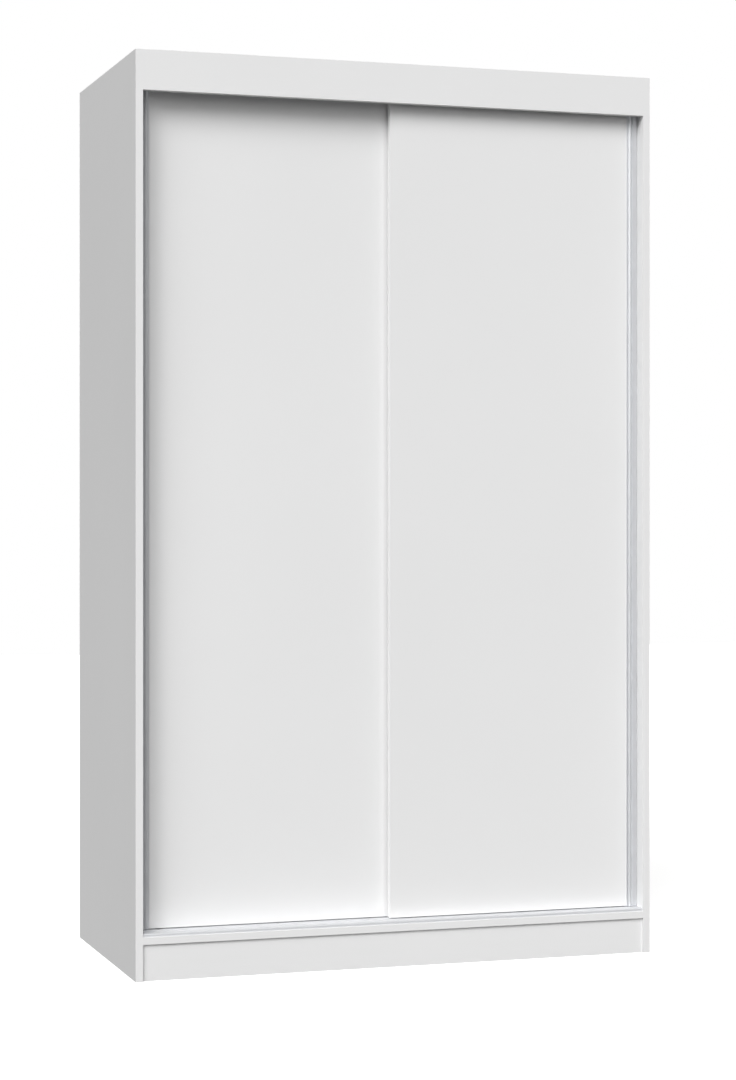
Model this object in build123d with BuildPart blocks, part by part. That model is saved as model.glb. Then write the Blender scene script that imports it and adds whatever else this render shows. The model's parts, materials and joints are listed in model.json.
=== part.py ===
"""Two-door sliding wardrobe, flat-pack carcass of 16 mm melamine board.

Millimetres. The origin is the middle of the footprint, on the floor: +X right, +Y to the back, +Z up.
The front plane, where the board edges end, is at Y = FRONT. The right door runs in front, the left door
behind it, each on two wheels in the bottom track and two glides in the top track.
"""

from build123d import *
import os

# Overall size and boards
WIDTH = 1200
DEPTH = 606
HEIGHT = 2000
BOARD = 16  # chipboard thickness
BACK_SHEET = 3  # hardboard back
EASE = 0.5  # rounding of exposed board edges

FRONT = -DEPTH / 2
REAR = DEPTH / 2 - BACK_SHEET  # rear edges of the boards, where the back sheets are nailed
INNER = WIDTH / 2 - BOARD  # inner face of a side panel
TOP_INNER = HEIGHT - BOARD  # underside of the top panel

# Base and fascia
PLINTH = 79  # height
PLINTH_SETBACK = 6
FASCIA = 87  # height
FLOOR_INNER = PLINTH + BOARD  # upper face of the bottom panel

# Doors
DOOR_WIDTH = 598
DOOR_OVERLAP = 30
DOOR_BOTTOM = 104
DOOR_TOP = 1956
DOOR_FACES = {"right": FRONT + 34, "left": FRONT + 59}  # Y of each door's front face
DOOR_SIDES = {"right": 1, "left": -1}  # which end of the opening each door closes
DOOR_MIDDLE = (DOOR_WIDTH - DOOR_OVERLAP) / 2  # X of a closed door's centre
DOOR_TRAVEL = 540

# Handle profile, an aluminium extrusion that clips over the door's outer edge
HANDLE_WIDTH = 26
HANDLE_WALL = 1.3
HANDLE_SKIN = 1.2  # thickness over the door's faces
HANDLE_RIDGE = 7  # height of the finger ridge above the door's face
HANDLE_BACK = 12  # width of the rear flange
HANDLE_DROP = 1  # how far it reaches below the board

# Wheels and their housings
WHEEL_RADIUS = 12
WHEEL_WIDTH = 5
WHEEL_SLOT = WHEEL_RADIUS + 1.5  # half-length of the slot a wheel turns in
WHEEL_HUB = 2  # hub wall around the axle
WHEEL_WEB = 0.8  # how far the web lies back from hub and rim
WHEEL_LINE = 9  # from the door's front face to the middle of the wheel
WHEEL_FROM_END = 60  # from the door's end to the wheel
WHEEL_HEIGHT = 111  # of the axle above the floor
AXLE_RADIUS = 2.5
RUNNING_GAP = 0.05  # radial
SKIN = 3  # board left in front of a pocket
FLANGE = 1.5  # flange thickness, let into the board
FIT = 0.2  # gap around a fitting in its pocket
SIDE_GAP = 0.3  # on each side of a wheel
DOOR_SCREW_BITE = 11
HOUSING = (64, 36)  # width, height
HOUSING_FLANGE = (88, 42)
GUIDE = (44, 28)
GUIDE_FLANGE = (68, 34)
GUIDE_FROM_END = 45
GLIDE = (30, 14, 22)  # length along the track, thickness, height above the door
GLIDE_NECK = (10, 10)  # thickness, height of the glide's narrower foot

# Tracks
TRACK_LENGTH = 2 * INNER - 1
TOP_TRACK_HEIGHT = 20
TOP_TRACK_WALL = 1.5
CHANNEL = 16  # inner width of one upper channel
BOTTOM_TRACK_HEIGHT = 7
BOTTOM_TRACK_SETBACK = 3
BOTTOM_TRACK_WIDTH = 78
BOTTOM_TRACK_WALL = 1.3
BOTTOM_TRACK_BEVEL = 2.3  # along both upper edges
GROOVE_WIDTH = 9
GROOVE_TAPER = 1  # inward lean of each groove wall
GROOVE_RISE = 0.8  # of the round groove floor at its sides
TREAD_GAP = 0.3  # clearance under a wheel
TRACK_HOLLOWS = ((8.5, 36.5), (49, 52), (59, 62), (74, 78.5))  # underneath, counted from the front plane
TRACK_CROWN = FLOOR_INNER + BOTTOM_TRACK_HEIGHT
TRACK_CEILING = TOP_INNER - TOP_TRACK_WALL
STOP_LENGTH = 18
STOP_GAP = 0.3  # what a glide leaves to its stop at the end of the travel

# Interior
INSIDE_FRONT = FRONT + 88  # front edge of the partition
SHELF_FRONT = INSIDE_FRONT + 4
SHELF_REAR = REAR - 1
HAT_SHELF = 1660  # underside
RIGHT_SHELVES = 5
RIGHT_PITCH = (TOP_INNER - FLOOR_INNER + BOARD) / (RIGHT_SHELVES + 1)
FIXED_SHELF = 3  # which right-hand shelf ties the carcass together
SHELF_CLEARANCE = 0.5  # at each end of an adjustable shelf
SHEET_INSET = 1  # of the back sheets from the outer edges
SHEET_SEAM = 0.5  # from the middle to each back sheet
RAIL_RADIUS = 12.5
RAIL_WALL = 1
RAIL_HEIGHT = 1600
RAIL_Y = 45
SOCKET_RADIUS = 24
SOCKET_FLANGE = 4
SOCKET_DEPTH = 14
SOCKET_WALL = 2
SOCKET_SCREWS = (-19, 19)  # above and below the rail

# Fasteners
CAM_RADIUS = 7.5
CAM_DEPTH = 12.5
CAM_REACH = 34  # from the joint to the middle of the cam
CAM_Y = (-170, 240)
CAM_SLOT = 2  # depth of the driver slot
BOLT_RADIUS = 2.5
BOLT_BORE = 4
BOLT_COLLAR = 4  # length
BOLT_HEAD = (3.5, 3)  # radius, length
BOLT_FACE_DEPTH = 11
DOWEL_RADIUS = 4
DOWEL_FACE_DEPTH = 11
DOWEL_EDGE_DEPTH = 19
DOWEL_Y = (-120, 190)
LONG_SCREW_Y = (-150, 230)  # through the top and bottom panels into the partition
LONG_SCREW = (2.5, 50)  # radius, length
LONG_SCREW_HEAD = (4.5, 4)  # radius, height
LONG_SCREW_SOCKET = (1.5, 2)  # radius, depth
NAIL_RADIUS = 0.8
NAIL_LENGTH = 18
NAIL_HEAD = (2, 0.8)  # radius, height
NAIL_PITCH = 205
NAIL_END_GAP = 24  # from the top and bottom panels to the nearest nail
SCREW_RADIUS = 1.5
SCREW_BITE = 12  # how far a small screw enters a board
SCREW_HEAD = (3, 1.5)  # radius, height
CROSS = (3.2, 0.7)  # length and width of each slot of a cross recess
CROSS_DEPTH = 0.9
BLOCK = 14  # edge of a plastic corner block
BLOCK_LENGTH = 40
BLOCK_SCREW = 10  # each screw's distance from the block's middle
PIN_RADIUS = 2.5
PIN_DEPTH = 9
PIN_REACH = 8  # of the pin into the bay
PIN_TONGUE = (10, 10, 2)  # reach, width and thickness of the tongue under the shelf
PIN_DROP = 4  # pin axis below the shelf
PIN_INSET = 60  # from a shelf's front and rear edges

TRACK_SCREW_X = [TRACK_LENGTH / 2 * step for step in (-0.92, -0.46, 0, 0.46, 0.92)]
BLOCK_X = (-480, 40, 480)
TOP_TRACK_MIDDLE = FRONT + 54.5
BOTTOM_TRACK_MIDDLE = FRONT + 55.5  # flat land between the two grooves


def block(low, high, mode=Mode.ADD):
    """Box between two opposite corners."""
    size = [b - a for a, b in zip(low, high)]
    centre = [(a + b) / 2 for a, b in zip(low, high)]
    with Locations(tuple(centre)):
        Box(*size, mode=mode)


def rod(point, direction, radius, length, mode=Mode.ADD):
    """Cylinder that starts at a point and runs along a direction."""
    with Locations(Plane(origin=point, z_dir=direction)):
        Cylinder(radius, length, align=(Align.CENTER, Align.CENTER, Align.MIN), mode=mode)


def bore(point, direction, radius, depth):
    """Round hole that starts on a face and runs along a direction."""
    rod(point, direction, radius, depth, mode=Mode.SUBTRACT)


def cross_recess(point, direction, depth=CROSS_DEPTH):
    """Cross recess that starts on a face and is sunk along a direction."""
    with Locations(Plane(origin=point, z_dir=direction)):
        for size in (CROSS, CROSS[::-1]):
            Box(*size, depth, align=(Align.CENTER, Align.CENTER, Align.MIN), mode=Mode.SUBTRACT)


def screw(point, direction, length, head=SCREW_HEAD):
    """Cross-head screw whose head sits on a face at the point."""
    rod(point, direction, SCREW_RADIUS, length)
    rod(point, tuple(-part for part in direction), *head)
    crown = tuple(at - part * head[1] for at, part in zip(point, direction))
    cross_recess(crown, direction)


def ease(edges):
    """Round the given edges slightly."""
    fillet(edges, EASE)


def long_edges(builder, axis, x=None, y=None, z=None):
    """Edges parallel to an axis that lie at the given coordinates."""
    wanted = ShapeList()
    for edge in builder.edges().filter_by(axis):
        middle = edge.center()
        pairs = ((x, middle.X), (y, middle.Y), (z, middle.Z))
        if all(want is None or abs(want - got) < 0.01 for want, got in pairs):
            wanted.append(edge)
    return wanted


def keep(piece, label):
    """Name a finished piece and write it."""
    piece.part.label = label
    export_step(piece.part, f"parts/{label}.step")


def towards(sign):
    """Direction along X."""
    return (sign, 0, 0)


def right_shelf_bottom(number):
    """Underside of a right-hand shelf, counted from the bottom."""
    return FLOOR_INNER + number * RIGHT_PITCH - BOARD


HALF = BOARD / 2
FIXED_SHELF_BOTTOM = right_shelf_bottom(FIXED_SHELF)

# Horizontal board ends that meet an upright, as (joint X, direction into the board, mid-board Z)
TOP_ENDS = [(-INNER, 1, HEIGHT - HALF), (INNER, -1, HEIGHT - HALF)]
BOTTOM_ENDS = [(-INNER, 1, PLINTH + HALF), (INNER, -1, PLINTH + HALF)]
HAT_ENDS = [(-INNER, 1, HAT_SHELF + HALF), (-HALF, -1, HAT_SHELF + HALF)]
FIXED_ENDS = [(HALF, 1, FIXED_SHELF_BOTTOM + HALF), (INNER, -1, FIXED_SHELF_BOTTOM + HALF)]
BOARD_ENDS = TOP_ENDS + BOTTOM_ENDS + HAT_ENDS + FIXED_ENDS

# Boards on edge (plinths, fascia) that meet the side panels, as (mid-board Y, dowel heights)
FRONT_PLINTH_Y = FRONT + PLINTH_SETBACK + HALF
REAR_PLINTH_Y = REAR - HALF
FASCIA_Y = FRONT + HALF
BRACE_FRONT = FRONT_PLINTH_Y + HALF
BRACE_REAR = REAR_PLINTH_Y - HALF
PLINTH_DOWELS = (22, 57)  # heights
UPRIGHT_DOWELS = [
    (FRONT_PLINTH_Y, PLINTH_DOWELS),
    (REAR_PLINTH_Y, PLINTH_DOWELS),
    (FASCIA_Y, (HEIGHT - 66, HEIGHT - 24)),
]


def nail_heights():
    """Heights of the nails along an upright edge."""
    count = int((HEIGHT - PLINTH) // NAIL_PITCH)
    first = FLOOR_INNER + NAIL_END_GAP
    step = (TOP_INNER - NAIL_END_GAP - first) / (count - 1)
    return [first + step * n for n in range(count)]


NAILS = [(x, z) for x in (-WIDTH / 2 + HALF, -4, 4, WIDTH / 2 - HALF) for z in nail_heights()]
NAILS += [(x, z) for x in (-440, -296, -150, 150, 296, 440) for z in (PLINTH + HALF, HEIGHT - HALF)]


def nail_holes(low_x, high_x, low_z, high_z):
    """Nail holes in the rear edge of one board."""
    for x, z in NAILS:
        if low_x < x < high_x and low_z < z < high_z:
            bore((x, REAR, z), (0, -1, 0), NAIL_RADIUS, NAIL_LENGTH - BACK_SHEET)


def face_holes(ends, face_x):
    """Bolt and dowel holes in an upright's face for the board ends that meet it."""
    for x, into, z in ends:
        if abs(x - face_x) < 0.01:
            for y in CAM_Y:
                bore((x, y, z), towards(-into), BOLT_RADIUS, BOLT_FACE_DEPTH)
            for y in DOWEL_Y:
                bore((x, y, z), towards(-into), DOWEL_RADIUS, DOWEL_FACE_DEPTH)


def end_holes(ends, cam_face, cam_direction):
    """Cam pockets, bolt bores and dowel holes at both ends of a horizontal board."""
    for x, into, z in ends:
        for y in CAM_Y:
            bore((x, y, z), towards(into), BOLT_BORE, CAM_REACH)
            bore((x + into * CAM_REACH, y, cam_face), cam_direction, CAM_RADIUS, CAM_DEPTH)
        for y in DOWEL_Y:
            bore((x, y, z), towards(into), DOWEL_RADIUS, DOWEL_EDGE_DEPTH)


def pin_places():
    """Shelf pins, as (face X, direction into the bay, Y, Z of the shelf's underside)."""
    places = []
    for number in range(1, RIGHT_SHELVES + 1):
        if number != FIXED_SHELF:
            for x, into in ((HALF, 1), (INNER, -1)):
                for y in (SHELF_FRONT + PIN_INSET, SHELF_REAR - PIN_INSET):
                    places.append((x, into, y, right_shelf_bottom(number)))
    return places


PINS = pin_places()

# Corner blocks, as (mid-block X, Y of the upright board's inner face, direction inward, Z above the block)
BLOCK_FACES = (
    (FRONT + BOARD, 1, TOP_INNER),
    (BRACE_FRONT, 1, PLINTH),
    (BRACE_REAR, -1, PLINTH),
)
BLOCKS = [(x, y, into, z) for x in BLOCK_X for y, into, z in BLOCK_FACES]


def block_screw_holes(face):
    """Holes for the corner-block screws that enter a horizontal board from below."""
    for x, y, into, z in BLOCKS:
        if abs(z - face) < 0.01:
            bore((x - BLOCK_SCREW, y + into * BLOCK / 2, z), (0, 0, 1), SCREW_RADIUS, SCREW_BITE)


def long_screw_holes(face, way):
    """Countersunk holes for the screws that pass through a horizontal board into the partition."""
    for y in LONG_SCREW_Y:
        bore((0, y, face), (0, 0, way), LONG_SCREW[0], BOARD)
        bore((0, y, face), (0, 0, way), *LONG_SCREW_HEAD)


# ---------------------------------------------------------------- carcass boards
os.makedirs("parts", exist_ok=True)

for label, side in (("left_side_panel", -1), ("right_side_panel", 1)):
    inner_x = side * INNER
    outer_x = side * WIDTH / 2
    with BuildPart() as side_panel:
        block((min(inner_x, outer_x), FRONT, 0), (max(inner_x, outer_x), REAR, HEIGHT))
        ease(long_edges(side_panel, Axis.Z, x=outer_x, y=FRONT))
        face_holes(BOARD_ENDS, inner_x)
        for y, heights in UPRIGHT_DOWELS:
            for z in heights:
                bore((inner_x, y, z), towards(side), DOWEL_RADIUS, DOWEL_FACE_DEPTH)
        for x, into, y, z in PINS:
            if x * side > HALF:
                bore((x, y, z - PIN_DROP), towards(-into), PIN_RADIUS, PIN_DEPTH)
        if side < 0:
            for offset in SOCKET_SCREWS:
                bore((inner_x, RAIL_Y, RAIL_HEIGHT + offset), towards(side), SCREW_RADIUS, SCREW_BITE)
        nail_holes(min(inner_x, outer_x), max(inner_x, outer_x), 0, HEIGHT)
    keep(side_panel, label)

with BuildPart() as top_panel:
    block((-INNER, FRONT + BOARD, TOP_INNER), (INNER, REAR, HEIGHT))
    end_holes(TOP_ENDS, HEIGHT, (0, 0, -1))
    long_screw_holes(HEIGHT, -1)
    for x in TRACK_SCREW_X:
        bore((x, TOP_TRACK_MIDDLE, TOP_INNER), (0, 0, 1), SCREW_RADIUS, SCREW_BITE)
    block_screw_holes(TOP_INNER)
    nail_holes(-INNER, INNER, TOP_INNER, HEIGHT)
keep(top_panel, "top_panel")

with BuildPart() as bottom_panel:
    block((-INNER, FRONT, PLINTH), (INNER, REAR, FLOOR_INNER))
    ease(long_edges(bottom_panel, Axis.X, y=FRONT))
    end_holes(BOTTOM_ENDS, PLINTH, (0, 0, 1))
    long_screw_holes(PLINTH, 1)
    for x in TRACK_SCREW_X:
        bore((x, BOTTOM_TRACK_MIDDLE, FLOOR_INNER), (0, 0, -1), SCREW_RADIUS, SCREW_BITE)
    block_screw_holes(PLINTH)
    nail_holes(-INNER, INNER, PLINTH, FLOOR_INNER)
keep(bottom_panel, "bottom_panel")

with BuildPart() as centre_partition:
    block((-HALF, INSIDE_FRONT, FLOOR_INNER), (HALF, REAR, TOP_INNER))
    ease(long_edges(centre_partition, Axis.Z, y=INSIDE_FRONT))
    face_holes(BOARD_ENDS, -HALF)
    face_holes(BOARD_ENDS, HALF)
    for y in LONG_SCREW_Y:
        bore((0, y, FLOOR_INNER), (0, 0, 1), LONG_SCREW[0], LONG_SCREW[1] - BOARD)
        bore((0, y, TOP_INNER), (0, 0, -1), LONG_SCREW[0], LONG_SCREW[1] - BOARD)
    for x, into, y, z in PINS:
        if into > 0:
            bore((x, y, z - PIN_DROP), towards(-into), PIN_RADIUS, PIN_DEPTH)
    for offset in SOCKET_SCREWS:
        bore((-HALF, RAIL_Y, RAIL_HEIGHT + offset), towards(1), SCREW_RADIUS, SCREW_BITE)
    nail_holes(-HALF, HALF, FLOOR_INNER, TOP_INNER)
keep(centre_partition, "centre_partition")


def upright_board(low_y, low_z, high_z, front_edges=()):
    """Board on edge between the side panels, with a dowel hole pair at each end."""
    middle = low_y + HALF
    with BuildPart() as board:
        block((-INNER, low_y, low_z), (INNER, low_y + BOARD, high_z))
        for z in front_edges:
            ease(long_edges(board, Axis.X, y=low_y, z=z))
        for y, heights in UPRIGHT_DOWELS:
            if abs(y - middle) < 0.01:
                for z in heights:
                    for end in (-1, 1):
                        bore((end * INNER, y, z), towards(-end), DOWEL_RADIUS, DOWEL_EDGE_DEPTH)
        # holes for the screws of the corner blocks
        top_edge = abs(high_z - HEIGHT) < 0.01
        screw_z = TOP_INNER - BLOCK / 2 if top_edge else PLINTH - BLOCK / 2
        face, way = (low_y, 1) if low_y > 0 else (low_y + BOARD, -1)
        for x in BLOCK_X:
            bore((x + BLOCK_SCREW, face, screw_z), (0, way, 0), SCREW_RADIUS, SCREW_BITE)
        if not top_edge:
            for z in PLINTH_DOWELS:
                bore((0, face, z), (0, way, 0), DOWEL_RADIUS, DOWEL_FACE_DEPTH)
    return board


keep(upright_board(FRONT, HEIGHT - FASCIA, HEIGHT, front_edges=(HEIGHT - FASCIA,)), "fascia_board")
keep(upright_board(FRONT + PLINTH_SETBACK, 0, PLINTH), "front_plinth")
keep(upright_board(REAR - BOARD, 0, PLINTH), "rear_plinth")

with BuildPart() as plinth_brace:
    block((-HALF, BRACE_FRONT, 0), (HALF, BRACE_REAR, PLINTH))
    for z in PLINTH_DOWELS:
        bore((0, BRACE_FRONT, z), (0, 1, 0), DOWEL_RADIUS, DOWEL_EDGE_DEPTH)
        bore((0, BRACE_REAR, z), (0, -1, 0), DOWEL_RADIUS, DOWEL_EDGE_DEPTH)
    for y in LONG_SCREW_Y:
        # room to drive the screws above
        bore((0, y, PLINTH), (0, 0, -1), LONG_SCREW_HEAD[0] + 0.5, 6)
keep(plinth_brace, "plinth_brace")


# ---------------------------------------------------------------- shelves
def shelf(low_x, high_x, bottom, ends=()):
    """One shelf, with cams underneath when it has fixed ends."""
    with BuildPart() as board:
        block((low_x, SHELF_FRONT, bottom), (high_x, SHELF_REAR, bottom + BOARD))
        ease(long_edges(board, Axis.X, y=SHELF_FRONT))
        end_holes(ends, bottom, (0, 0, 1))
    return board


keep(shelf(-INNER, -HALF, HAT_SHELF, HAT_ENDS), "hat_shelf")
keep(shelf(HALF, INNER, FIXED_SHELF_BOTTOM, FIXED_ENDS), "fixed_shelf")
adjustable = [n for n in range(1, RIGHT_SHELVES + 1) if n != FIXED_SHELF]
for order, number in enumerate(adjustable, start=1):
    board = shelf(HALF + SHELF_CLEARANCE, INNER - SHELF_CLEARANCE, right_shelf_bottom(number))
    keep(board, f"adjustable_shelf_{order}")

# ---------------------------------------------------------------- back sheets
for label, side in (("left_back_sheet", -1), ("right_back_sheet", 1)):
    seam = side * SHEET_SEAM
    rim = side * (WIDTH / 2 - SHEET_INSET)
    low = (min(seam, rim), REAR, PLINTH + SHEET_INSET)
    high = (max(seam, rim), REAR + BACK_SHEET, HEIGHT - SHEET_INSET)
    with BuildPart() as back_sheet:
        block(low, high)
        for x, z in NAILS:
            if x * side > 0:
                bore((x, REAR + BACK_SHEET, z), (0, -1, 0), NAIL_RADIUS, BACK_SHEET)
                bore((x, REAR + BACK_SHEET, z), (0, -1, 0), *NAIL_HEAD)
    keep(back_sheet, label)

with BuildPart() as back_nails:
    for x, z in NAILS:
        rod((x, REAR + BACK_SHEET, z), (0, -1, 0), NAIL_RADIUS, NAIL_LENGTH)
        rod((x, REAR + BACK_SHEET, z), (0, -1, 0), *NAIL_HEAD)
keep(back_nails, "back_nails")

# ---------------------------------------------------------------- hanging rail
with BuildPart() as hanging_rail:
    rail_start = (-INNER + SOCKET_FLANGE, RAIL_Y, RAIL_HEIGHT)
    rail_length = INNER - HALF - 2 * SOCKET_FLANGE
    rod(rail_start, towards(1), RAIL_RADIUS, rail_length)
    bore(rail_start, towards(1), RAIL_RADIUS - RAIL_WALL, rail_length)
keep(hanging_rail, "hanging_rail")

RAIL_SOCKETS = (("left_rail_socket", -INNER, 1), ("right_rail_socket", -HALF, -1))
for label, face_x, into in RAIL_SOCKETS:
    with BuildPart() as rail_socket:
        rod((face_x, RAIL_Y, RAIL_HEIGHT), towards(into), SOCKET_RADIUS, SOCKET_FLANGE)
        rod((face_x, RAIL_Y, RAIL_HEIGHT), towards(into), RAIL_RADIUS + SOCKET_WALL, SOCKET_DEPTH)
        cup_floor = (face_x + into * SOCKET_FLANGE, RAIL_Y, RAIL_HEIGHT)
        bore(cup_floor, towards(into), RAIL_RADIUS, SOCKET_DEPTH)
        for offset in SOCKET_SCREWS:
            bore((face_x, RAIL_Y, RAIL_HEIGHT + offset), towards(into), SCREW_RADIUS, SOCKET_FLANGE)
    keep(rail_socket, label)

with BuildPart() as rail_screws:
    for label, face_x, into in RAIL_SOCKETS:
        for offset in SOCKET_SCREWS:
            screw(
                (face_x + into * SOCKET_FLANGE, RAIL_Y, RAIL_HEIGHT + offset),
                towards(-into),
                SOCKET_FLANGE + SCREW_BITE,
            )
keep(rail_screws, "rail_screws")

# ---------------------------------------------------------------- carcass hardware, one node for each kind
CAM_FACES = (
    (TOP_ENDS, HEIGHT, -1),
    (BOTTOM_ENDS, PLINTH, 1),
    (HAT_ENDS, HAT_SHELF, 1),
    (FIXED_ENDS, FIXED_SHELF_BOTTOM, 1),
)
with BuildPart() as cam_locks:
    for ends, face, way in CAM_FACES:
        for x, into, z in ends:
            for y in CAM_Y:
                rod((x + into * CAM_REACH, y, face), (0, 0, way), CAM_RADIUS, CAM_DEPTH)
    for ends, face, way in CAM_FACES:
        for x, into, z in ends:
            for y in CAM_Y:
                rim = (x + into * (CAM_REACH - CAM_RADIUS), y, z)
                bore(rim, towards(into), BOLT_BORE, CAM_RADIUS + 1)
                cross_recess((x + into * CAM_REACH, y, face), (0, 0, way), CAM_SLOT)
keep(cam_locks, "cam_locks")

with BuildPart() as cam_bolts:
    for x, into, z in BOARD_ENDS:
        for y in CAM_Y:
            tip = (x - into * BOLT_FACE_DEPTH, y, z)
            rod(tip, towards(into), BOLT_RADIUS, BOLT_FACE_DEPTH + CAM_REACH)
            rod((x, y, z), towards(into), BOLT_BORE, BOLT_COLLAR)
            rod((x + into * (CAM_REACH - BOLT_HEAD[1]), y, z), towards(into), *BOLT_HEAD)
keep(cam_bolts, "cam_bolts")

with BuildPart() as dowels:
    length = DOWEL_FACE_DEPTH + DOWEL_EDGE_DEPTH
    for x, into, z in BOARD_ENDS:
        for y in DOWEL_Y:
            rod((x - into * DOWEL_FACE_DEPTH, y, z), towards(into), DOWEL_RADIUS, length)
    for y, heights in UPRIGHT_DOWELS:
        for z in heights:
            for end in (-1, 1):
                rod((end * (INNER + DOWEL_FACE_DEPTH), y, z), towards(-end), DOWEL_RADIUS, length)
    for z in PLINTH_DOWELS:
        for y, way in ((BRACE_FRONT, 1), (BRACE_REAR, -1)):
            rod((0, y - way * DOWEL_FACE_DEPTH, z), (0, way, 0), DOWEL_RADIUS, length)
keep(dowels, "dowels")

with BuildPart() as partition_screws:
    for face, way in ((HEIGHT, -1), (PLINTH, 1)):
        for y in LONG_SCREW_Y:
            rod((0, y, face), (0, 0, way), *LONG_SCREW)
            rod((0, y, face), (0, 0, way), *LONG_SCREW_HEAD)
            bore((0, y, face), (0, 0, way), *LONG_SCREW_SOCKET)
keep(partition_screws, "partition_screws")

with BuildPart() as corner_blocks:
    for x, y, into, z in BLOCKS:
        near_y, far_y = sorted((y, y + into * BLOCK))
        block((x - BLOCK_LENGTH / 2, near_y, z - BLOCK), (x + BLOCK_LENGTH / 2, far_y, z))
    for x, y, into, z in BLOCKS:
        bore((x - BLOCK_SCREW, y + into * BLOCK / 2, z - BLOCK), (0, 0, 1), SCREW_RADIUS, BLOCK)
        bore((x + BLOCK_SCREW, y + into * BLOCK, z - BLOCK / 2), (0, -into, 0), SCREW_RADIUS, BLOCK)
keep(corner_blocks, "corner_blocks")

with BuildPart() as block_screws:
    for x, y, into, z in BLOCKS:
        screw((x - BLOCK_SCREW, y + into * BLOCK / 2, z - BLOCK), (0, 0, 1), BLOCK + SCREW_BITE)
        screw((x + BLOCK_SCREW, y + into * BLOCK, z - BLOCK / 2), (0, -into, 0), BLOCK + SCREW_BITE)
keep(block_screws, "block_screws")

with BuildPart() as shelf_pins:
    tongue_reach, tongue_width, tongue_thickness = PIN_TONGUE
    for x, into, y, z in PINS:
        rod((x - into * PIN_DEPTH, y, z - PIN_DROP), towards(into), PIN_RADIUS, PIN_DEPTH + PIN_REACH)
        low_x, high_x = sorted((x, x + into * tongue_reach))
        low = (low_x, y - tongue_width / 2, z - tongue_thickness)
        block(low, (high_x, y + tongue_width / 2, z))
keep(shelf_pins, "shelf_pins")

# ---------------------------------------------------------------- tracks
CHANNEL_MIDDLES = [face + BOARD / 2 for face in DOOR_FACES.values()]
with BuildPart() as top_track:
    half_channel = CHANNEL / 2
    front_y = min(CHANNEL_MIDDLES) - half_channel - TOP_TRACK_WALL
    rear_y = max(CHANNEL_MIDDLES) + half_channel + TOP_TRACK_WALL
    block((-TRACK_LENGTH / 2, front_y, TRACK_CEILING), (TRACK_LENGTH / 2, rear_y, TOP_INNER))
    for middle in CHANNEL_MIDDLES:
        for low_y in (middle - half_channel - TOP_TRACK_WALL, middle + half_channel):
            block(
                (-TRACK_LENGTH / 2, low_y, TOP_INNER - TOP_TRACK_HEIGHT),
                (TRACK_LENGTH / 2, low_y + TOP_TRACK_WALL, TOP_INNER),
            )
    for x in TRACK_SCREW_X:
        bore((x, TOP_TRACK_MIDDLE, TRACK_CEILING), (0, 0, 1), SCREW_RADIUS, TOP_TRACK_WALL)
keep(top_track, "top_track")

GROOVE_MIDDLES = [face + WHEEL_LINE for face in DOOR_FACES.values()]
GROOVE_FLOOR = WHEEL_HEIGHT - WHEEL_RADIUS - TREAD_GAP
with BuildPart() as bottom_track:
    low_y = FRONT + BOTTOM_TRACK_SETBACK
    high_y = low_y + BOTTOM_TRACK_WIDTH
    shoulder = TRACK_CROWN - BOTTOM_TRACK_BEVEL
    with BuildSketch(Plane.YZ.offset(-TRACK_LENGTH / 2)):
        with BuildLine():
            Polyline(
                (low_y, FLOOR_INNER),
                (low_y, shoulder),
                (low_y + BOTTOM_TRACK_BEVEL, TRACK_CROWN),
                (high_y - BOTTOM_TRACK_BEVEL, TRACK_CROWN),
                (high_y, shoulder),
                (high_y, FLOOR_INNER),
                close=True,
            )
        make_face()
        # running grooves with a round floor
        for middle in GROOVE_MIDDLES:
            near = middle - GROOVE_WIDTH / 2
            far = middle + GROOVE_WIDTH / 2
            floor_side = GROOVE_FLOOR + GROOVE_RISE
            with BuildLine():
                Polyline(
                    (near, TRACK_CROWN + 1),
                    (near, TRACK_CROWN),
                    (near + GROOVE_TAPER, floor_side),
                )
                ThreePointArc(
                    (near + GROOVE_TAPER, floor_side),
                    (middle, GROOVE_FLOOR),
                    (far - GROOVE_TAPER, floor_side),
                )
                Polyline(
                    (far - GROOVE_TAPER, floor_side),
                    (far, TRACK_CROWN),
                    (far, TRACK_CROWN + 1),
                    (near, TRACK_CROWN + 1),
                )
            make_face(mode=Mode.SUBTRACT)
        # hollows underneath
        hollow = BOTTOM_TRACK_HEIGHT - BOTTOM_TRACK_WALL
        for hollow_low, hollow_high in TRACK_HOLLOWS:
            with Locations((FRONT + (hollow_low + hollow_high) / 2, FLOOR_INNER + hollow / 2)):
                Rectangle(hollow_high - hollow_low, hollow, mode=Mode.SUBTRACT)
    extrude(amount=TRACK_LENGTH)
    for x in TRACK_SCREW_X:
        bore((x, BOTTOM_TRACK_MIDDLE, TRACK_CROWN), (0, 0, -1), SCREW_RADIUS, BOTTOM_TRACK_HEIGHT)
        bore((x, BOTTOM_TRACK_MIDDLE, TRACK_CROWN), (0, 0, -1), *SCREW_HEAD)
keep(bottom_track, "bottom_track")

with BuildPart() as track_screws:
    for x in TRACK_SCREW_X:
        screw((x, TOP_TRACK_MIDDLE, TRACK_CEILING), (0, 0, 1), TOP_TRACK_WALL + SCREW_BITE)
        sunk = TRACK_CROWN - SCREW_HEAD[1]
        screw((x, BOTTOM_TRACK_MIDDLE, sunk), (0, 0, -1), sunk - FLOOR_INNER + SCREW_BITE)
keep(track_screws, "track_screws")

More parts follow.
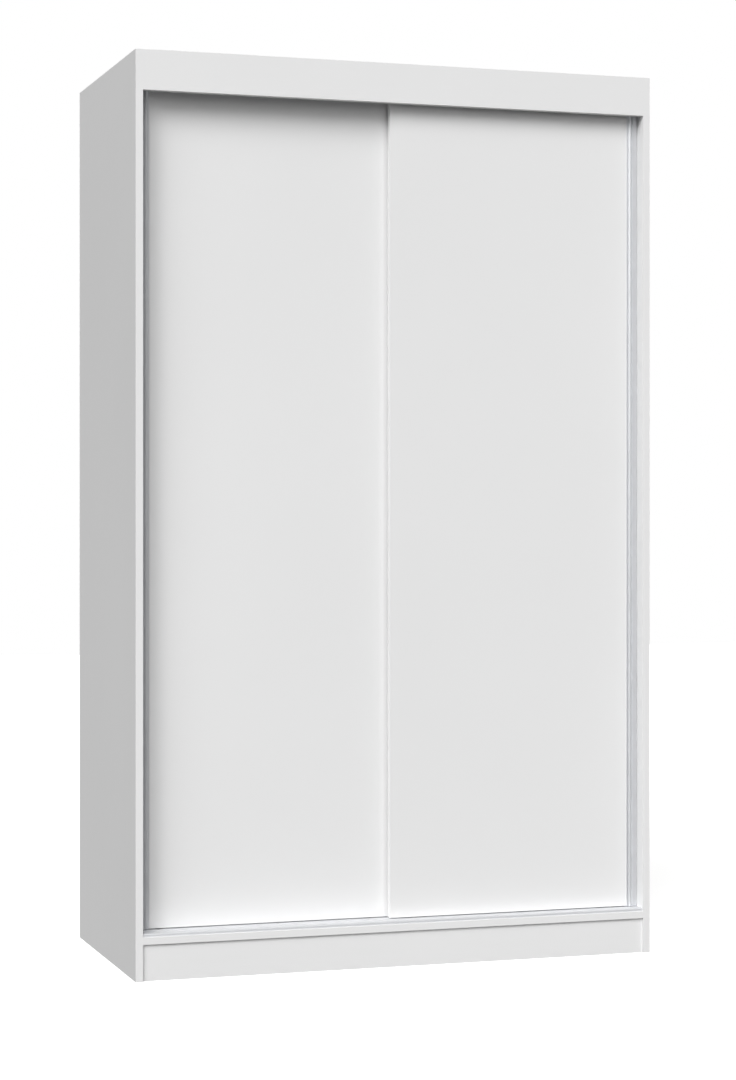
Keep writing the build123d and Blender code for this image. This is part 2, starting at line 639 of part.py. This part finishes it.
# Stops in the upper channels, where the outer glides of each door end their travel
with BuildPart() as track_stops:
    glide_reach = DOOR_WIDTH / 2 - GUIDE_FROM_END + GLIDE[0] / 2
    for name, side in DOOR_SIDES.items():
        middle = DOOR_FACES[name] + BOARD / 2
        closed_end = side * (DOOR_MIDDLE + glide_reach + STOP_GAP)
        open_end = side * (DOOR_MIDDLE - DOOR_TRAVEL - glide_reach - STOP_GAP)
        for start, way in ((closed_end, side), (open_end, -side)):
            low_x, high_x = sorted((start, start + way * STOP_LENGTH))
            block(
                (low_x, middle - CHANNEL / 2, TOP_INNER - TOP_TRACK_HEIGHT + 1),
                (high_x, middle + CHANNEL / 2, TRACK_CEILING),
            )
keep(track_stops, "track_stops")


# ---------------------------------------------------------------- doors
def end_places(side, from_end):
    """X of the two fittings near a closed door's ends."""
    reach = DOOR_WIDTH / 2 - from_end
    return [side * DOOR_MIDDLE - reach, side * DOOR_MIDDLE + reach]


def flange_screw_x(x, flange):
    """X of the two screws of a flange."""
    offset = flange[0] / 2 - 6
    return (x - offset, x + offset)


def door_board(side, face):
    """Door leaf with the pockets for its wheels and glides milled into the back."""
    outer = side * (DOOR_MIDDLE + DOOR_WIDTH / 2 - HANDLE_WALL)
    inner = side * (DOOR_MIDDLE - DOOR_WIDTH / 2)
    back = face + BOARD
    with BuildPart() as board:
        block((min(outer, inner), face, DOOR_BOTTOM), (max(outer, inner), back, DOOR_TOP))
        ease(long_edges(board, Axis.Z, x=inner))
        for x in end_places(side, WHEEL_FROM_END):
            pocket(x, face, HOUSING, DOOR_BOTTOM, DOOR_BOTTOM + HOUSING[1])
            recess(x, back, HOUSING_FLANGE, DOOR_BOTTOM, DOOR_BOTTOM + HOUSING_FLANGE[1])
            for screw_x in flange_screw_x(x, HOUSING_FLANGE):
                point = (screw_x, back - FLANGE, DOOR_BOTTOM + HOUSING_FLANGE[1] / 2)
                bore(point, (0, -1, 0), SCREW_RADIUS, DOOR_SCREW_BITE)
        for x in end_places(side, GUIDE_FROM_END):
            pocket(x, face, GUIDE, DOOR_TOP - GUIDE[1], DOOR_TOP)
            recess(x, back, GUIDE_FLANGE, DOOR_TOP - GUIDE_FLANGE[1], DOOR_TOP)
            for screw_x in flange_screw_x(x, GUIDE_FLANGE):
                point = (screw_x, back - FLANGE, DOOR_TOP - GUIDE_FLANGE[1] / 2)
                bore(point, (0, -1, 0), SCREW_RADIUS, DOOR_SCREW_BITE)
    return board


def pocket(x, face, size, low_z, high_z):
    """Pocket for the body of a fitting."""
    block(
        (x - size[0] / 2, face + SKIN, low_z),
        (x + size[0] / 2, face + BOARD, high_z),
        mode=Mode.SUBTRACT,
    )


def recess(x, back, size, low_z, high_z):
    """Shallow recess for the flange of a fitting."""
    block(
        (x - size[0] / 2, back - FLANGE, low_z),
        (x + size[0] / 2, back, high_z),
        mode=Mode.SUBTRACT,
    )


def handle_profile(side, face):
    """Extruded handle: a clip over the door's outer edge with a hollow finger ridge on its face."""

    def at(inward, proud):
        """Section point, counted inward from the door's edge and forward from its face."""
        return (side * (DOOR_MIDDLE + DOOR_WIDTH / 2 - inward), face - proud)

    rear = -BOARD - HANDLE_SKIN
    with BuildPart() as profile:
        with BuildSketch(Plane.XY.offset(DOOR_BOTTOM - HANDLE_DROP)):
            with BuildLine():
                Polyline(
                    at(HANDLE_WIDTH, 0),
                    at(HANDLE_WIDTH, 0.7),
                    at(HANDLE_WIDTH - 0.5, HANDLE_SKIN),
                    at(22.6, HANDLE_SKIN),
                    at(21.4, 4.8),
                )
                ThreePointArc(at(21.4, 4.8), at(18.9, HANDLE_RIDGE), at(15.6, 5.4))
                ThreePointArc(at(15.6, 5.4), at(13, 2.4), at(9.6, HANDLE_SKIN))
                Line(at(9.6, HANDLE_SKIN), at(1.4, HANDLE_SKIN))
                ThreePointArc(at(1.4, HANDLE_SKIN), at(0.41, 0.79), at(0, -0.2))
                Polyline(
                    at(0, -0.2),
                    at(0, rear),
                    at(HANDLE_BACK, rear),
                    at(HANDLE_BACK, -BOARD),
                    at(HANDLE_WALL, -BOARD),
                    at(HANDLE_WALL, 0),
                    at(HANDLE_WIDTH, 0),
                )
            make_face()
            # hollow of the ridge, closed by the door's face
            with BuildLine():
                Polyline(at(21, 0), at(20, 4.4))
                ThreePointArc(at(20, 4.4), at(18.7, HANDLE_RIDGE - HANDLE_SKIN), at(16.6, 4.6))
                Polyline(at(16.6, 4.6), at(14, 0), at(21, 0))
            make_face(mode=Mode.SUBTRACT)
        extrude(amount=DOOR_TOP - DOOR_BOTTOM + HANDLE_DROP)
    return profile


def wheel_housing(x, face):
    """Wheel housing: body, flange let into the door's back, slot for the wheel and bores for its axle."""
    back = face + BOARD
    with BuildPart() as housing:
        block(
            (x - HOUSING[0] / 2 + FIT, face + SKIN + FIT, DOOR_BOTTOM),
            (x + HOUSING[0] / 2 - FIT, back, DOOR_BOTTOM + HOUSING[1] - FIT),
        )
        block(
            (x - HOUSING_FLANGE[0] / 2 + FIT, back - FLANGE, DOOR_BOTTOM),
            (x + HOUSING_FLANGE[0] / 2 - FIT, back, DOOR_BOTTOM + HOUSING_FLANGE[1] - FIT),
        )
        block(
            (x - WHEEL_SLOT, face + WHEEL_LINE - WHEEL_WIDTH / 2 - SIDE_GAP, DOOR_BOTTOM),
            (x + WHEEL_SLOT, face + WHEEL_LINE + WHEEL_WIDTH / 2 + SIDE_GAP, WHEEL_HEIGHT + WHEEL_SLOT),
            mode=Mode.SUBTRACT,
        )
        bore((x, face + SKIN + FIT, WHEEL_HEIGHT), (0, 1, 0), AXLE_RADIUS, BOARD)
        for screw_x in flange_screw_x(x, HOUSING_FLANGE):
            bore((screw_x, back, DOOR_BOTTOM + HOUSING_FLANGE[1] / 2), (0, -1, 0), SCREW_HEAD[0], FLANGE)
    return housing


def wheel(x, face):
    """Nylon wheel with a crowned tread, a web thinner than its rim, and a bore for the axle."""
    half = WHEEL_WIDTH / 2
    web = half - WHEEL_WEB
    bore_radius = AXLE_RADIUS + RUNNING_GAP
    hub = AXLE_RADIUS + WHEEL_HUB
    rim = 0.8 * WHEEL_RADIUS
    crown = WHEEL_RADIUS - 1
    with BuildPart() as disc:
        with BuildSketch(Plane.XY):
            with BuildLine():
                Polyline((bore_radius, -half), (hub, -half), (hub + 0.6, -web), (rim - 0.6, -web))
                Polyline((rim - 0.6, -web), (rim, -half), (crown, -half))
                ThreePointArc((crown, -half), (WHEEL_RADIUS, 0), (crown, half))
                Polyline((crown, half), (rim, half), (rim - 0.6, web))
                Polyline((rim - 0.6, web), (hub + 0.6, web), (hub, half), (bore_radius, half))
                Line((bore_radius, half), (bore_radius, -half))
            make_face()
        revolve(axis=Axis.Y)
    disc.part.position = (x, face + WHEEL_LINE, WHEEL_HEIGHT)
    return disc


def top_guide(x, face):
    """Top guide: body, flange let into the door's back, and a round-ended glide for the channel."""
    back = face + BOARD
    length, thickness, rise = GLIDE
    neck_thickness, neck_height = GLIDE_NECK
    with BuildPart() as guide:
        block(
            (x - GUIDE[0] / 2 + FIT, face + SKIN + FIT, DOOR_TOP - GUIDE[1] + FIT),
            (x + GUIDE[0] / 2 - FIT, back, DOOR_TOP),
        )
        block(
            (x - GUIDE_FLANGE[0] / 2 + FIT, back - FLANGE, DOOR_TOP - GUIDE_FLANGE[1] + FIT),
            (x + GUIDE_FLANGE[0] / 2 - FIT, back, DOOR_TOP),
        )
        with BuildSketch(Plane.XY.offset(DOOR_TOP)):
            with Locations((x, face + BOARD / 2)):
                SlotOverall(length, neck_thickness)
        extrude(amount=rise)
        with BuildSketch(Plane.XY.offset(DOOR_TOP + neck_height)):
            with Locations((x, face + BOARD / 2)):
                SlotOverall(length, thickness)
        extrude(amount=rise - neck_height)
        for screw_x in flange_screw_x(x, GUIDE_FLANGE):
            bore((screw_x, back, DOOR_TOP - GUIDE_FLANGE[1] / 2), (0, -1, 0), SCREW_HEAD[0], FLANGE)
    return guide


def door_screws(side, face):
    """Screws of a door's four fittings, heads flush in the flanges."""
    back = face + BOARD
    rows = (
        (WHEEL_FROM_END, HOUSING_FLANGE, DOOR_BOTTOM + HOUSING_FLANGE[1] / 2),
        (GUIDE_FROM_END, GUIDE_FLANGE, DOOR_TOP - GUIDE_FLANGE[1] / 2),
    )
    with BuildPart() as screws:
        for from_end, flange, z in rows:
            for x in end_places(side, from_end):
                for screw_x in flange_screw_x(x, flange):
                    head = (SCREW_HEAD[0], FLANGE)
                    screw((screw_x, back - FLANGE, z), (0, -1, 0), DOOR_SCREW_BITE, head)
    return screws


for name, side in DOOR_SIDES.items():
    face = DOOR_FACES[name]
    keep(door_board(side, face), f"{name}_door_board")
    keep(handle_profile(side, face), f"{name}_door_handle")
    keep(door_screws(side, face), f"{name}_door_screws")
    for number, x in enumerate(end_places(side, WHEEL_FROM_END), start=1):
        keep(wheel_housing(x, face), f"{name}_door_wheel_housing_{number}")
        keep(wheel(x, face), f"{name}_door_wheel_{number}")
    for number, x in enumerate(end_places(side, GUIDE_FROM_END), start=1):
        keep(top_guide(x, face), f"{name}_door_top_guide_{number}")
    with BuildPart() as axles:
        for x in end_places(side, WHEEL_FROM_END):
            rod((x, face + SKIN + 2 * FIT, WHEEL_HEIGHT), (0, 1, 0), AXLE_RADIUS, BOARD - SKIN - 3 * FIT)
    keep(axles, f"{name}_door_axles")
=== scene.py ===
"""Two-door sliding wardrobe: materials, stage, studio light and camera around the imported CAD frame."""

import json
import math

import bpy
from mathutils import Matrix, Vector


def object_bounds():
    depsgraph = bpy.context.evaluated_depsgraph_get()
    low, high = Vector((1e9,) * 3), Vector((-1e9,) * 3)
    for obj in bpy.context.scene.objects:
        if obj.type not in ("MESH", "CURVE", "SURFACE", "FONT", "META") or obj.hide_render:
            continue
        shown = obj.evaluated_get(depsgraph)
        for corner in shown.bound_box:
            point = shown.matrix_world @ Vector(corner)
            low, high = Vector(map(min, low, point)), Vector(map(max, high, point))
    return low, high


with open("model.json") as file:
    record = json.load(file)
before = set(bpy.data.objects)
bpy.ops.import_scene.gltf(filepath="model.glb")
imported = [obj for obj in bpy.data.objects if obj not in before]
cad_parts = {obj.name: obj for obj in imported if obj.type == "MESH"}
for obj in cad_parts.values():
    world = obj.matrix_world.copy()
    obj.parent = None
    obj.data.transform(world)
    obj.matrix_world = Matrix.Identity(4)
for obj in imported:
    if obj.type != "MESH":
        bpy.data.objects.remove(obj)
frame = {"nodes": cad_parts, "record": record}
cad_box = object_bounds()

MM = 0.001
scene = bpy.context.scene


# ---------------------------------------------------------------- shader helpers
class Shader:
    """A node material with one Principled BSDF, and short calls to add and link nodes."""

    def __init__(self, name):
        self.material = bpy.data.materials.new(name)
        self.material.use_nodes = True
        self.tree = self.material.node_tree
        self.bsdf = self.tree.nodes["Principled BSDF"]
        self.place = self.add("ShaderNodeTexCoord").outputs["Object"]

    def add(self, kind, **settings):
        node = self.tree.nodes.new(kind)
        for key, value in settings.items():
            setattr(node, key, value)
        return node

    def link(self, source, target):
        self.tree.links.new(source, target)

    def surface(self, **values):
        """Uniform values on the shader's own sockets."""
        for key, value in values.items():
            self.bsdf.inputs[key.replace("_", " ")].default_value = value

    def stretched(self, x, y, z):
        """Object coordinates, scaled to repeats per metre on each axis."""
        mapping = self.add("ShaderNodeMapping")
        mapping.inputs["Scale"].default_value = (x, y, z)
        self.link(self.place, mapping.inputs["Vector"])
        return mapping.outputs["Vector"]

    def noise(self, scale, detail=2.0, roughness=0.5, vector=None):
        node = self.add("ShaderNodeTexNoise")
        node.inputs["Scale"].default_value = scale
        node.inputs["Detail"].default_value = detail
        node.inputs["Roughness"].default_value = roughness
        self.link(vector or self.place, node.inputs["Vector"])
        return node.outputs["Fac"]

    def ramp(self, factor, low, high, start=0.3, end=0.7):
        """Spread a factor between two colours or two numbers."""
        node = self.add("ShaderNodeMapRange" if isinstance(low, float) else "ShaderNodeMix")
        if isinstance(low, float):
            for key, value in (("From Min", start), ("From Max", end), ("To Min", low), ("To Max", high)):
                node.inputs[key].default_value = value
            self.link(factor, node.inputs["Value"])
            return node.outputs["Result"]
        node.data_type = "RGBA"
        spread = self.ramp(factor, 0.0, 1.0, start, end)
        self.link(spread, node.inputs["Factor"])
        node.inputs["A"].default_value = (*low, 1)
        node.inputs["B"].default_value = (*high, 1)
        return node.outputs["Result"]

    def bump(self, height, depth, strength):
        """Relief of a given depth in metres."""
        node = self.add("ShaderNodeBump")
        node.inputs["Strength"].default_value = strength
        node.inputs["Distance"].default_value = depth
        self.link(height, node.inputs["Height"])
        self.link(node.outputs["Normal"], self.bsdf.inputs["Normal"])


def grey(value):
    return (value, value, value)


# ---------------------------------------------------------------- materials
def melamine():
    """White melamine face: near-neutral, satin, with a faint pearl relief and slow gloss changes."""
    m = Shader("white_melamine")
    m.surface(IOR=1.45, Specular_IOR_Level=0.22)
    tone = m.noise(1.7, detail=3)
    gloss = m.noise(38, detail=4)
    pearl = m.noise(900, detail=2)
    m.link(m.ramp(tone, grey(0.812), grey(0.828)), m.bsdf.inputs["Base Color"])
    m.link(m.ramp(gloss, 0.5, 0.6), m.bsdf.inputs["Roughness"])
    m.bump(pearl, 0.02 * MM, 0.3)
    return m.material


def hardboard():
    """Back sheet: lacquered white inside, bare brown pressed fibre outside."""
    m = Shader("white_hardboard")
    fibre = m.noise(420, detail=6, roughness=0.7)
    brown = m.ramp(fibre, (0.19, 0.105, 0.05), (0.30, 0.18, 0.095), 0.35, 0.68)
    lacquer = m.ramp(m.noise(3), grey(0.79), grey(0.81))
    side = m.add("ShaderNodeSeparateXYZ")
    m.link(m.add("ShaderNodeNewGeometry").outputs["True Normal"], side.inputs["Vector"])
    outside = m.ramp(side.outputs["Y"], 0.0, 1.0, 0.4, 0.6)
    mix = m.add("ShaderNodeMix", data_type="RGBA")
    m.link(outside, mix.inputs["Factor"])
    m.link(lacquer, mix.inputs["A"])
    m.link(brown, mix.inputs["B"])
    m.link(mix.outputs["Result"], m.bsdf.inputs["Base Color"])
    m.link(m.ramp(outside, 0.45, 0.8, 0.0, 1.0), m.bsdf.inputs["Roughness"])
    m.bump(fibre, 0.05 * MM, 0.4)
    return m.material


def aluminium(name, along, metallic):
    """Anodised extrusion with fine die lines along its length. A milkier layer is less metallic."""
    m = Shader(name)
    m.surface(Metallic=metallic)
    across = 2600
    lengthwise = 1.2
    scale = [across, across, across]
    scale["XYZ".index(along)] = lengthwise
    lines = m.noise(1, detail=3, roughness=0.6, vector=m.stretched(*scale))
    m.link(m.ramp(lines, (0.78, 0.79, 0.81), (0.84, 0.85, 0.87)), m.bsdf.inputs["Base Color"])
    m.link(m.ramp(lines, 0.46, 0.54), m.bsdf.inputs["Roughness"])
    m.bump(lines, 0.01 * MM, 0.25)
    return m.material


def chrome():
    m = Shader("chrome_tube")
    m.surface(Metallic=1.0)
    m.link(m.ramp(m.noise(9), grey(0.80), grey(0.84)), m.bsdf.inputs["Base Color"])
    m.link(m.ramp(m.noise(120, detail=4), 0.06, 0.13), m.bsdf.inputs["Roughness"])
    return m.material


def plastic(name, low, high, roughness, grain=1400):
    """Moulded plastic with a fine spark-eroded grain."""
    m = Shader(name)
    m.link(m.ramp(m.noise(30, detail=3), low, high), m.bsdf.inputs["Base Color"])
    m.link(m.ramp(m.noise(70), roughness, roughness + 0.1), m.bsdf.inputs["Roughness"])
    m.bump(m.noise(grain, detail=3), 0.03 * MM, 0.35)
    return m.material


def zinc():
    m = Shader("zinc_steel")
    m.surface(Metallic=1.0)
    patches = m.noise(450, detail=3)
    m.link(m.ramp(patches, (0.55, 0.56, 0.58), (0.70, 0.70, 0.69)), m.bsdf.inputs["Base Color"])
    m.link(m.ramp(patches, 0.28, 0.42), m.bsdf.inputs["Roughness"])
    return m.material


def beech():
    m = Shader("beech")
    grain = m.noise(1, detail=4, vector=m.stretched(40, 900, 900))
    m.link(m.ramp(grain, (0.55, 0.36, 0.20), (0.70, 0.52, 0.33)), m.bsdf.inputs["Base Color"])
    m.surface(Roughness=0.7)
    m.bump(grain, 0.05 * MM, 0.5)
    return m.material


finishes = {
    "white_melamine": melamine(),
    "white_hardboard": hardboard(),
    "satin_aluminium": aluminium("satin_aluminium_upright", "Z", 1.0),
    "chrome_tube": chrome(),
    "white_plastic": plastic("white_plastic", grey(0.76), grey(0.80), 0.42),
    "grey_plastic": plastic("grey_plastic", grey(0.24), grey(0.29), 0.45),
    "zinc_steel": zinc(),
    "beech": beech(),
    "nylon": plastic("nylon", (0.68, 0.67, 0.62), (0.74, 0.73, 0.69), 0.38, grain=600),
    "rubber": plastic("rubber", grey(0.05), grey(0.075), 0.7),
}
track_finish = aluminium("satin_aluminium_track", "X", 0.55)
LEVEL_EXTRUSIONS = ("top_track", "bottom_track")

for entry in frame["record"]["subparts"]:
    node = frame["nodes"][entry["node"]]
    finish = track_finish if entry["node"] in LEVEL_EXTRUSIONS else finishes[entry["material_slot"]]
    node.data.materials.clear()
    node.data.materials.append(finish)

# ---------------------------------------------------------------- stage
FLOOR_HALF = 12.0
floor_mesh = bpy.data.meshes.new("floor")
corners = [(-FLOOR_HALF, -FLOOR_HALF, 0), (FLOOR_HALF, -FLOOR_HALF, 0)]
corners += [(FLOOR_HALF, FLOOR_HALF, 0), (-FLOOR_HALF, FLOOR_HALF, 0)]
floor_mesh.from_pydata(corners, [], [(0, 1, 2, 3)])
floor = bpy.data.objects.new("floor", floor_mesh)
scene.collection.objects.link(floor)
floor_shader = Shader("pale_floor")
floor_shader.surface(Base_Color=(0.9, 0.9, 0.9, 1), Roughness=0.9, Specular_IOR_Level=0.1)
floor_shader.surface(Emission_Color=(1, 1, 1, 1), Emission_Strength=0.55)
floor.data.materials.append(floor_shader.material)
# the floor catches shadows, but adds no bounce light and doesn't show in reflections
floor.visible_diffuse = False
floor.visible_glossy = False


# ---------------------------------------------------------------- light
def sun(name, strength, left, up, softness, shines=True):
    """Far soft light, all in degrees: left of the front (negative is right), above the horizon, and its size.

    A light that doesn't shine is left out of reflections.
    """
    lamp = bpy.data.lights.new(name, "SUN")
    lamp.energy = strength
    lamp.angle = math.radians(softness)
    holder = bpy.data.objects.new(name, lamp)
    holder.rotation_euler = (math.radians(90 - up), 0, math.radians(-left))
    holder.visible_glossy = shines
    scene.collection.objects.link(holder)


sun("key", 1.75, left=32, up=38, softness=34)
sun("key_wrap", 1.3, left=55, up=30, softness=36)
sun("low_fill", 0.6, left=-5, up=14, softness=34, shines=False)
sun("right_fill", 0.28, left=-58, up=22, softness=40, shines=False)
sun("side_fill", 0.9, left=-108, up=12, softness=50)
sun("back_fill", 0.85, left=-150, up=12, softness=50)

# strength of the white surroundings: as seen by the camera, as soft light, and in reflections
BACKDROP = 1.0
AMBIENT = 0.13
GLOSS = 0.3
world = bpy.data.worlds.new("studio")
scene.world = world
world.use_nodes = True
nodes = world.node_tree.nodes
links = world.node_tree.links
background = nodes["Background"]
background.inputs["Color"].default_value = (1, 1, 1, 1)
path = nodes.new("ShaderNodeLightPath")


def choose(ray, strength):
    """A node that gives one strength to a kind of ray, and leaves its input A for all others."""
    choice = nodes.new("ShaderNodeMix")
    choice.inputs["B"].default_value = strength
    links.new(path.outputs[ray], choice.inputs["Factor"])
    return choice


diffuse = choose("Is Diffuse Ray", AMBIENT)
diffuse.inputs["A"].default_value = BACKDROP
glossy = choose("Is Glossy Ray", GLOSS)
links.new(diffuse.outputs["Result"], glossy.inputs["A"])
links.new(glossy.outputs["Result"], background.inputs["Strength"])

# ---------------------------------------------------------------- camera
FOCAL = 83.91  # millimetres
SENSOR = 36  # millimetres
LENS_SHIFT = -0.0253  # of the picture's longer side
CAMERA_TURN = 17.93  # degrees towards the right, from a place to the left of the middle
CAMERA_ASIDE = 1.786  # metres to the left of the middle
CAMERA_BACK = 5.281  # metres in front of the front plane
CAMERA_HEIGHT = 1.006
camera_data = bpy.data.cameras.new("camera")
camera_data.lens = FOCAL
camera_data.sensor_width = SENSOR
camera_data.shift_y = LENS_SHIFT
camera = bpy.data.objects.new("camera", camera_data)
camera.location = (-CAMERA_ASIDE, cad_box[0][1] - CAMERA_BACK, CAMERA_HEIGHT)
camera.rotation_euler = (math.radians(90), 0, math.radians(-CAMERA_TURN))
scene.collection.objects.link(camera)
scene.camera = camera
scene.view_settings.view_transform = "Standard"
